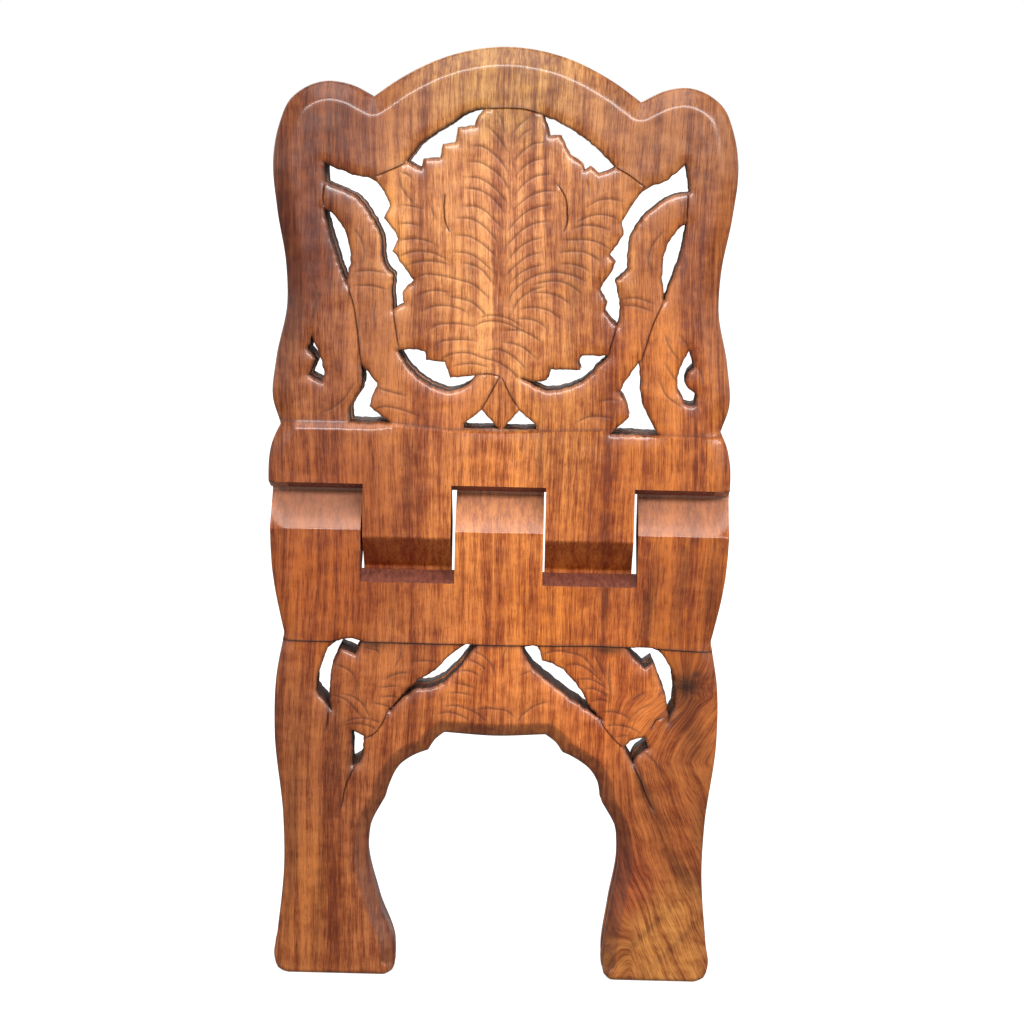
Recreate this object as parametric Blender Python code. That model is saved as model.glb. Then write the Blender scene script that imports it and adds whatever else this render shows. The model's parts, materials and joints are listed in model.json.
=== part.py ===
"""Folding book stand carved from one plank.

The plank is sawn in two through its thickness from both ends, and the halves swap sides at a
row of carved fingers in the middle, so each leaf is one piece of wood and they turn in each
other with no pin. Metres, +Z up: X runs along the width, the front faces -Y, and the soles
stand on Z = 0 below the middle of the folded stand.
"""

import math

import bmesh
import bpy
from mathutils import Vector

MM = 0.001

# Driving dimensions of the plank.
BOARD_WIDTH = 172 * MM
UPPER_HEIGHT = 180 * MM  # hinge axis up to the crest
LOWER_HEIGHT = 172.5 * MM  # soles up to the hinge axis
BOARD_THICKNESS = 23.4 * MM

# Driving dimensions of the saw cut and the carved hinge.
KERF = 1.2 * MM  # saw cut between the two leaves
FINGER_WIDTH = 34.24 * MM  # spacing of the fingers; the outer two run on to the plank's edge
FINGER_COUNT = 5
FINGER_GAP = 1.2 * MM  # between the sides of neighbouring fingers, when centred
SIDE_PLAY = 0.5 * MM  # the two-finger leaf has slipped this far to the left in its gaps
OPEN_ANGLE = math.radians(115)  # between the two book rests when the fingers meet the ledges
LEDGE_GAP = 0.2 * MM  # left between a finger's face and its ledge's front edge at full opening
LEDGE_SLOPE = math.radians(16)  # the ledges fall away from the saw cut to the plank's face
FINGER_LIP = 1.3 * MM  # a finger's face runs this far past the axis before its slope begins
SLOPE_GAP = 1.3 * MM  # between the end of a finger's slope and the ledge behind it

# The carver's drawing is in millimetres: x from the middle, z from the soles.
DRAWN_WIDTH = 172
DRAWN_UPPER = 180
DRAWN_LOWER = 172.5
EDGE_STEP = 2.8  # longest straight stretch along the plank's outline
PIERCING_STEP = 2.2  # and along a pierced opening
CORNER = "corner"

HALF = BOARD_THICKNESS / 2
CUTTER_OVERHANG = 10 * MM

# Right side of the outline, from the top of the crest down to the sole; the left mirrors it.
SIDE_OUTLINE = [
    (0, 352.5), (19.5, 349.5), (39, 340.5), (49, 333.5, CORNER),
    (58.5, 338), (65.5, 339), (73, 337), (79, 332.5), (83.5, 322.5), (85.5, 311), (84, 292.5),
    (80.5, 272), (80, 257.5), (84, 236.5), (85, 221.5), (82, 212.5, CORNER),
    (84.5, 207), (86, 182.5), (84.5, 153), (80.5, 133.5, CORNER),
    (83.5, 116), (84, 95), (80.5, 61.5), (80, 45), (82.5, 15), (83.5, 5.5), (82, 1.5),
    (78, 0, CORNER),
]

# The arch between the legs, from the right sole over to the left one, sawn freehand.
ARCH = [
    (46, 0, CORNER), (43.5, 2), (43, 6.5), (45, 27), (48, 49), (47, 58.5), (41, 70, CORNER),
    (40, 75.5), (36.5, 82), (30.5, 86.5), (25.5, 89, CORNER), (23, 92.5), (19, 95.5, CORNER),
    (0, 94.5), (-19.5, 95.5, CORNER), (-23, 92.5), (-25.5, 88.5, CORNER), (-30.5, 86.5),
    (-36.5, 82), (-40, 75), (-41.5, 70, CORNER), (-47, 58.5), (-48, 49), (-43.5, 28.5),
    (-37, 7.5), (-38, 1.5), (-41, 0, CORNER),
]

# Pierced openings, each cut freehand, so the left and right ones are only near twins.
OPENINGS = {
    "top_crescent_left": [
        (-8, 330, CORNER), (-12.5, 329), (-22.5, 323), (-31.5, 316.5), (-36, 310.5, CORNER),
        (-31, 308, CORNER), (-30, 311.5, CORNER), (-24, 312, CORNER), (-23, 317, CORNER),
        (-18.5, 317.5, CORNER), (-17.5, 323, CORNER), (-11.5, 324, CORNER), (-10, 327.5),
    ],
    "top_crescent_right": [
        (13.5, 328, CORNER), (21.5, 324.5), (31.5, 318), (40, 310, CORNER), (34.5, 307.5, CORNER),
        (31, 310, CORNER), (29, 308.5, CORNER), (27.5, 311.5), (23.5, 314, CORNER),
        (21, 319), (20, 321, CORNER), (16, 321, CORNER), (15, 324),
    ],
    "side_sweep_left": [
        (-66.5, 309.5, CORNER), (-62.5, 307.5), (-53, 304.5), (-49.5, 304), (-43.5, 297.5),
        (-42, 294, CORNER), (-44.5, 289.5, CORNER), (-42, 287), (-39, 282, CORNER),
        (-41, 277.5, CORNER), (-36, 271), (-33, 267, CORNER), (-37, 262),
        (-36.5, 258.5, CORNER), (-40.5, 256, CORNER), (-41, 261), (-40.5, 268.5, CORNER),
        (-44.5, 274, CORNER), (-45.5, 283), (-50.5, 292.5), (-54.5, 297.5), (-61.5, 300.5),
        (-66, 302.5, CORNER),
    ],
    "side_sweep_right": [
        (66, 311.5, CORNER), (59.5, 305.5), (51, 301.5), (47, 296.5), (43, 290, CORNER),
        (44, 285, CORNER), (39, 277.5, CORNER), (41, 275, CORNER), (40.5, 273),
        (35.5, 265, CORNER), (38.5, 260, CORNER), (37.5, 257, CORNER), (42.5, 251.5, CORNER),
        (43.5, 256), (41.5, 268.5, CORNER), (46, 272.5, CORNER), (46, 282.5), (49, 289.5),
        (55, 296), (61, 300), (67.5, 301.5, CORNER), (67, 306.5),
    ],
    "slit_left": [
        (-66.5, 292.5, CORNER), (-63, 290.5), (-58.5, 284.5), (-56.5, 276), (-58, 265.5, CORNER),
        (-62.5, 278), (-66, 290),
    ],
    "slit_right": [
        (67, 290, CORNER), (65.5, 280.5), (59.5, 261.5, CORNER), (58.5, 272.5), (60, 281.5),
        (63.5, 287),
    ],
    "paisley_eye_left": [
        (-70.5, 245.5, CORNER), (-67.5, 238.5), (-66, 230.5), (-66.5, 228.5, CORNER),
        (-71.5, 231, CORNER), (-69, 237, CORNER), (-72, 240.5, CORNER),
    ],
    "paisley_eye_right": [
        (69.5, 243, CORNER), (71.5, 237, CORNER), (69, 234.5), (68.5, 231),
        (72.5, 227, CORNER), (72, 223), (68.5, 223, CORNER), (65.5, 229.5), (67, 238.5),
    ],
    "triangle_left": [
        (-52, 235.5, CORNER), (-46, 228.5, CORNER), (-49, 220, CORNER),
        (-41, 214, CORNER), (-56, 214, CORNER), (-56.5, 217.5), (-52, 227),
    ],
    "triangle_right": [
        (51, 238.5, CORNER), (47.5, 233.5), (44, 227.5, CORNER), (47, 222),
        (48, 218, CORNER), (41, 211.5, CORNER), (59, 211.5, CORNER), (53, 222), (51.5, 233.5),
    ],
    "low_crescent_left": [
        (-38.5, 241, CORNER), (-33, 241.5), (-28.5, 240.5, CORNER), (-28, 237.5, CORNER),
        (-21, 237, CORNER), (-19, 231, CORNER), (-12, 232), (-9, 232.5, CORNER),
        (-13, 228.5), (-18, 226.5), (-24.5, 227.5), (-30.5, 231), (-37.5, 239),
    ],
    "low_crescent_right": [
        (39.5, 240.5, CORNER), (30, 240.5, CORNER), (28.5, 238.5), (29.5, 235, CORNER),
        (18.5, 235, CORNER), (17, 231, CORNER), (13.5, 230.5), (7.5, 231.5, CORNER),
        (16.5, 227.5), (27.5, 229.5), (38.5, 239.5),
    ],
    "diamond_notch_left": [
        (-7, 219.5, CORNER), (-13.5, 214, CORNER), (-13.5, 212.5, CORNER), (-0.5, 212.5, CORNER),
    ],
    "diamond_notch_right": [
        (7, 219.5, CORNER), (1, 212.5, CORNER), (13.5, 212.5, CORNER), (13.5, 214, CORNER),
    ],
    "leg_sweep_left": [
        (-63.5, 128), (-55, 132), (-51, 131, CORNER), (-53.5, 125.5, CORNER),
        (-59, 128, CORNER), (-61.5, 122.5), (-63, 107.5), (-62.5, 104, CORNER),
        (-68, 111, CORNER), (-68, 115), (-66, 122.5),
    ],
    "leg_sweep_right": [
        (49, 130.5, CORNER), (60, 130), (66.5, 121), (68, 110, CORNER),
        (65.5, 102.5, CORNER), (64.5, 110.5), (59, 125, CORNER), (56, 123, CORNER),
        (52, 126.5),
    ],
    "arch_sweep_left": [
        (-11.5, 130.5, CORNER), (-17, 126.5), (-23, 120.5), (-31.5, 114.5), (-40.5, 104, CORNER),
        (-30.5, 112.5), (-23, 114), (-15, 120.5), (-8, 130, CORNER),
    ],
    "arch_sweep_right": [
        (9.5, 129.5, CORNER), (15, 130), (17, 125, CORNER), (22.5, 123), (29.5, 117),
        (35, 108.5), (40, 102.5, CORNER), (22.5, 114.5, CORNER), (17.5, 118.5), (12.5, 123.5),
    ],
    "leg_eye_left": [
        (-54.5, 96, CORNER), (-50, 94, CORNER), (-51.5, 84), (-54, 82.5, CORNER),
    ],
    "leg_eye_right": [
        (49, 92, CORNER), (51.5, 94.5), (56.5, 96, CORNER), (58, 92, CORNER), (53, 87.5),
        (52.5, 85.5, CORNER),
    ],
}


def clear_scene():
    for old in list(bpy.data.objects):
        bpy.data.objects.remove(old, do_unlink=True)


def wood(name, colour):
    """Oiled rosewood with a satin polish."""
    material = bpy.data.materials.new(name)
    material.use_nodes = True
    shader = material.node_tree.nodes["Principled BSDF"]
    shader.inputs["Base Color"].default_value = (*colour, 1)
    shader.inputs["Roughness"].default_value = 0.42
    shader.inputs["Metallic"].default_value = 0.0
    return material


def tangent(before, here, after):
    """Slope of the curve at here, per millimetre, from its neighbours on both sides."""
    into, out = (here - before).length, (after - here).length
    return ((here - before) / into * out + (after - here) / out * into) / (into + out)


def smooth_loop(drawn, step):
    """A closed run of points on the smooth curve through the drawn ones, broken at corners."""
    places = [Vector(point[:2]) for point in drawn]
    sharp = [CORNER in point for point in drawn]
    count = len(places)
    run = []
    for i in range(count):
        start, end = places[i], places[(i + 1) % count]
        chord = (end - start).length
        before = 2 * start - end if sharp[i] else places[i - 1]
        after = 2 * end - start if sharp[(i + 1) % count] else places[(i + 2) % count]
        leave, arrive = tangent(before, start, end), tangent(start, end, after)
        pieces = max(1, math.ceil(chord / step))
        for k in range(pieces):
            t = k / pieces
            run.append(
                start * (2 * t**3 - 3 * t**2 + 1)
                + leave * chord * (t**3 - 2 * t**2 + t)
                + end * (3 * t**2 - 2 * t**3)
                + arrive * chord * (t**3 - t**2)
            )
    return run


def to_plank(point):
    """From the drawing to the plank's face: x from the middle, z from the hinge axis."""
    x = point.x * BOARD_WIDTH / DRAWN_WIDTH
    rise = point.y - DRAWN_LOWER
    z = rise * (UPPER_HEIGHT / DRAWN_UPPER if rise > 0 else LOWER_HEIGHT / DRAWN_LOWER)
    return x, z


def full_outline():
    """Down the right side, over the arch and up the left side."""
    mirrored = [(-point[0], *point[1:]) for point in reversed(SIDE_OUTLINE[1:])]
    return SIDE_OUTLINE + ARCH + mirrored


def finish_object(name, bm):
    """Makes an object on the hinge axis from a closed bmesh drawn around that axis."""
    bmesh.ops.recalc_face_normals(bm, faces=bm.faces)
    mesh = bpy.data.meshes.new(name)
    bm.to_mesh(mesh)
    bm.free()
    made = bpy.data.objects.new(name, mesh)
    made.location = (0, 0, LOWER_HEIGHT)
    bpy.context.scene.collection.objects.link(made)
    return made


def pierced_plank(name):
    """The whole plank, shaped and pierced, before it is sawn into leaves."""
    loops = [smooth_loop(full_outline(), EDGE_STEP)]
    loops += [smooth_loop(drawn, PIERCING_STEP) for drawn in OPENINGS.values()]
    bm = bmesh.new()
    edges = []
    for loop in loops:
        corners = [to_plank(point) for point in loop]
        verts = [bm.verts.new((x, -HALF, z)) for x, z in corners]
        edges += [bm.edges.new(pair) for pair in zip(verts, verts[1:] + verts[:1], strict=True)]
    bmesh.ops.triangle_fill(bm, use_beauty=True, edges=edges, normal=(0, -1, 0))
    raised = bmesh.ops.extrude_face_region(bm, geom=bm.faces[:])["geom"]
    moved = [item for item in raised if isinstance(item, bmesh.types.BMVert)]
    bmesh.ops.translate(bm, verts=moved, vec=(0, BOARD_THICKNESS, 0))
    return finish_object(name, bm)


def cutter(name, profile, spans):
    """One prism along X for each span, with the profile's (y, z) corners."""
    bm = bmesh.new()
    for low, high in spans:
        face = bm.faces.new([bm.verts.new((low, y, z)) for y, z in profile])
        raised = bmesh.ops.extrude_face_region(bm, geom=[face])["geom"]
        moved = [item for item in raised if isinstance(item, bmesh.types.BMVert)]
        bmesh.ops.translate(bm, verts=moved, vec=(high - low, 0, 0))
    made = finish_object(name, bm)
    made.hide_render = True
    made.display_type = "WIRE"
    return made


def cut(piece, tool):
    modifier = piece.modifiers.new(tool.name, "BOOLEAN")
    modifier.operation = "DIFFERENCE"
    modifier.solver = "EXACT"
    modifier.object = tool


def ledge(y):
    """Height above the axis, at y, of the ledge under a rest that stays at the front.

    Its front edge is where the other leaf's face arrives when it has turned by OPEN_ANGLE.
    """
    front_edge = HALF * math.tan(OPEN_ANGLE / 2) + LEDGE_GAP
    return front_edge - (y + HALF) * math.tan(LEDGE_SLOPE)


def saw_profile():
    """Wood taken from behind an upper rest that stays at the front, down to its finger's slope."""
    cut_y, top = -KERF / 2, UPPER_HEIGHT + LOWER_HEIGHT
    slope_end, slope_start = ledge(cut_y) - SLOPE_GAP, FINGER_LIP
    grade = (slope_start - slope_end) / (HALF - cut_y)
    back = HALF + CUTTER_OVERHANG
    return [(cut_y, top), (cut_y, slope_end), (back, slope_end + grade * (back - cut_y)), (back, top)]


def window_profile():
    """Room for the other leaf's fingers: a slanted band between two ledges, round the axis."""
    front = -HALF - CUTTER_OVERHANG
    upper = [(0, ledge(0)), (front, ledge(front))]
    return upper + [(front, -ledge(0)), *turned(upper), (-front, ledge(0))]


def unchanged(profile):
    return profile


def turned(profile):
    """The profile turned half a turn about the hinge axis."""
    return [(-y, -z) for y, z in profile]


def flipped(profile):
    """The profile with front and back swapped."""
    return [(-y, z) for y, z in profile]


def window_spans(columns):
    """Where along X a leaf makes room for the other leaf's fingers."""
    spans = []
    for column in columns:
        middle = (column - (FINGER_COUNT - 1) / 2) * FINGER_WIDTH
        low = middle - FINGER_WIDTH / 2 - FINGER_GAP / 2
        high = middle + FINGER_WIDTH / 2 + FINGER_GAP / 2
        if column == 0:
            low = -BOARD_WIDTH
        if column == FINGER_COUNT - 1:
            high = BOARD_WIDTH
        spans.append((low, high))
    return spans


def leaf(name, colour, upper_in_front, windows, shift):
    """One leaf, cut from the plank by the saw cuts above and below and by its windows."""
    side = unchanged if upper_in_front else flipped
    full_width = [(-BOARD_WIDTH, BOARD_WIDTH)]
    piece = pierced_plank(name)
    piece.data.materials.append(wood(name, colour))
    cut(piece, cutter(f"{name}_saw_above", side(saw_profile()), full_width))
    cut(piece, cutter(f"{name}_saw_below", side(turned(saw_profile())), full_width))
    cut(piece, cutter(f"{name}_windows", side(window_profile()), window_spans(windows)))
    for part in (piece, *(modifier.object for modifier in piece.modifiers)):
        part.location.x += shift


clear_scene()
outer_columns = range(0, FINGER_COUNT, 2)
inner_columns = range(1, FINGER_COUNT, 2)
leaf("three_finger_leaf", (0.38, 0.16, 0.055), False, inner_columns, SIDE_PLAY / 2)
leaf("two_finger_leaf", (0.44, 0.19, 0.065), True, outer_columns, -SIDE_PLAY / 2)
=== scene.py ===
"""The looks of a folding book stand carved from one rosewood plank, on a white table top.

Lengths are in millimetres until a mesh is made. X runs along the width, the front faces -Y
and the soles stand on Z = 0.
"""

import json
import math

import bpy
import numpy as np
from mathutils import Euler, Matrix, Vector, kdtree, noise
from mathutils.geometry import delaunay_2d_cdt


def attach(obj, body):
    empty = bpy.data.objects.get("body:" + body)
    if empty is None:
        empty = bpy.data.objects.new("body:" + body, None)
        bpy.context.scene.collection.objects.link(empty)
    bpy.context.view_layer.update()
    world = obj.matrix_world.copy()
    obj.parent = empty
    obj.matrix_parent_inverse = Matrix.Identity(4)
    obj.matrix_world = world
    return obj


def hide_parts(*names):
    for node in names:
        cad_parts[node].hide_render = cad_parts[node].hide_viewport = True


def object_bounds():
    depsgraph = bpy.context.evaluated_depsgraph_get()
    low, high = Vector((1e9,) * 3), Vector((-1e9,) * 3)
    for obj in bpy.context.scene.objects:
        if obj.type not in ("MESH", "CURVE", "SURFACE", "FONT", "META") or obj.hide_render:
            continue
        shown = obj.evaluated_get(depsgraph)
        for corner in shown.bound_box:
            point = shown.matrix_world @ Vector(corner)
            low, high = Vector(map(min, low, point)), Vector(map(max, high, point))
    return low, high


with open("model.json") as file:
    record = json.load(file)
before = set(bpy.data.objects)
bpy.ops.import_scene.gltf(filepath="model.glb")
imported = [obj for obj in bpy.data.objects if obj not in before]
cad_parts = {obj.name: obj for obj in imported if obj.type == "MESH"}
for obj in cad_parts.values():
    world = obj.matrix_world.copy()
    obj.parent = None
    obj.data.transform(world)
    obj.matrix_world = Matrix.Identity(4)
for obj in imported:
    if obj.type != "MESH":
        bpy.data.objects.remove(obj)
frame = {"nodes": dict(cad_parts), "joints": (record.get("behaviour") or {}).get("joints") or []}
cad_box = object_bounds()


# ---- The plank as it was sawn -------------------------------------------------------------
# Both leaves come out of one plank, so they share its outline, its pierced openings and the
# row of fingers on the hinge axis. These are read from the model's flat faces and smoothed.

MM = 0.001
FULL = (cad_box[1].y - cad_box[0].y) / 2 / MM  # from the middle of the plank to its face
# The saw that splits the plank leaves each half this far from the plank's middle.
SAW_FACE = min(abs(v.co.y) for v in frame["nodes"]["two_finger_leaf"].data.vertices) / MM
AXIS = frame["joints"][0]["pos_m"][2] / MM
HINGE_REACH = (70, 25)  # the fingers and their gaps lie this near the axis, along x and z
EDGE_STEP = 0.9  # spacing of points along the outline
OPENING_STEP = 0.65  # and along a pierced opening
SHARP_TURN = math.radians(33)  # a bend tighter than this is a cut corner, not a curve
SAW_STRAY = 0.34  # how far a fretsaw wanders from its line


def flat_face_loops(node, y):
    """The closed runs of (x, z) round the flat face at y, wood on the left, largest first."""
    mesh = frame["nodes"][node].data
    places = [tuple(round(c / MM, 3) for c in v.co) for v in mesh.vertices]
    onward = set()
    for polygon in mesh.polygons:
        ring = [places[i] for i in polygon.vertices]
        if all(abs(place[1] - y) < 0.02 for place in ring):
            for start, end in zip(ring, ring[1:] + ring[:1]):
                if (end, start) in onward:
                    onward.remove((end, start))
                else:
                    onward.add((start, end))
    follow = dict(onward)
    loops = []
    while follow:
        start, here = follow.popitem()
        loop = [start]
        while here != start:
            loop.append(here)
            here = follow.pop(here)
        run = np.array([(x, z) for x, _, z in loop])
        loops.append(run if y < 0 else run[::-1])
    return sorted(loops, key=lambda run: -np.ptp(run[:, 0]) * np.ptp(run[:, 1]))


def smooth_run(points, step, closed=True):
    """Points at most step apart on the curve through a run, broken where it turns sharply."""
    count = len(points)
    before, after = np.roll(points, 1, 0), np.roll(points, -1, 0)
    into, out = points - before, after - points
    long_in, long_out = np.linalg.norm(into, axis=1), np.linalg.norm(out, axis=1)
    turn = np.abs(np.arctan2(into[:, 0] * out[:, 1] - into[:, 1] * out[:, 0], (into * out).sum(1)))
    slope = into / long_in[:, None] * long_out[:, None] + out / long_out[:, None] * long_in[:, None]
    slope /= (long_in + long_out)[:, None]
    if not closed:
        turn[0] = turn[-1] = math.pi
    run = []
    for i in range(count if closed else count - 1):
        j = (i + 1) % count
        chord = long_out[i]
        straight = out[i] / chord
        leave = straight if turn[i] > SHARP_TURN else slope[i]
        arrive = straight if turn[j] > SHARP_TURN else slope[j]
        pieces = max(1, math.ceil(chord / step))
        t = (np.arange(pieces) / pieces)[:, None]
        run.append(
            points[i] * (2 * t**3 - 3 * t**2 + 1)
            + leave * chord * (t**3 - 2 * t**2 + t)
            + points[j] * (3 * t**2 - 2 * t**3)
            + arrive * chord * (t**3 - t**2)
        )
    if not closed:
        run.append(points[-1:])
    return np.concatenate(run)


def noise_at(points, wide, tall, layer):
    """Smooth noise at (x, z) points, in bumps of about wide by tall."""
    return np.array([noise.noise((x / wide, z / tall, layer)) for x, z in points])


def hand_sawn(run):
    """A fretsaw's small wanderings along a pierced opening."""
    across = np.roll(run, -1, 0) - np.roll(run, 1, 0)
    across = np.stack([-across[:, 1], across[:, 0]], 1) / np.linalg.norm(across, axis=1)[:, None]
    stray = noise_at(run, 2.3, 2.3, 0.7) + 0.6 * noise_at(run, 1.1, 1.1, 4.4)
    return run + across * SAW_STRAY * stray[:, None]


def straight_run(start, end, step):
    """Points at most step apart from start towards end, which it leaves out."""
    pieces = max(1, math.ceil(math.dist(start, end) / step))
    t = (np.arange(pieces) / pieces)[:, None]
    return np.array(start) * (1 - t) + np.array(end) * t


def by_hinge(run):
    """Which points of a run belong to the fingers and their gaps."""
    return (np.abs(run[:, 0]) < HINGE_REACH[0]) & (np.abs(run[:, 1] - AXIS) < HINGE_REACH[1])


def plank_of(node, upper_y):
    """A leaf's sawn shape: side arcs, openings and hinge sizes, from its flat faces."""
    upper, *upper_openings = flat_face_loops(node, upper_y)
    lower, *lower_openings = flat_face_loops(node, -upper_y)
    inner = flat_face_loops(node, math.copysign(1, upper_y) * SAW_FACE)[0]
    inner_x, inner_z = np.abs(inner[:, 0]), inner[:, 1] - AXIS
    inner_edge = inner_z[(inner_x < HINGE_REACH[0]) & (inner_z < HINGE_REACH[1])]
    hinge = upper[by_hinge(upper)]
    arcs = []
    for loop, way in ((upper, 1), (lower, -1)):
        keep = ((loop[:, 1] - AXIS) * way > 0.4) & ~by_hinge(loop)
        first = next(i for i in range(len(loop)) if keep[i] and not keep[i - 1])
        arc = np.roll(loop, -first, 0)[np.roll(keep, -first)]
        run = smooth_run(arc, EDGE_STEP, closed=False)
        arcs.append(np.stack([run[:, 0], np.maximum(run[:, 1], 0)], 1))  # the soles are planed flat
    openings = upper_openings + lower_openings
    return {
        "arcs": arcs,
        "openings": [hand_sawn(smooth_run(loop, OPENING_STEP)) for loop in openings],
        "sides": sorted({round(float(x), 2) for x in hinge[:, 0]}),
        "ledge": hinge[:, 1].max() - AXIS,
        "lip": AXIS - hinge[:, 1].min(),
        "inner_ledge": inner_edge.max(),
        "slope_end": inner_edge.min(),
    }


# ---- What the carver cut into the plank's faces -------------------------------------------
# Leaf veins are scratched and the lines between leaf, frame and legs gouged, with a tool that leaves the
# upper wall steep and the lower shallow. Their bottoms are painted dark as shade. Heights are from the
# soles.

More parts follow.
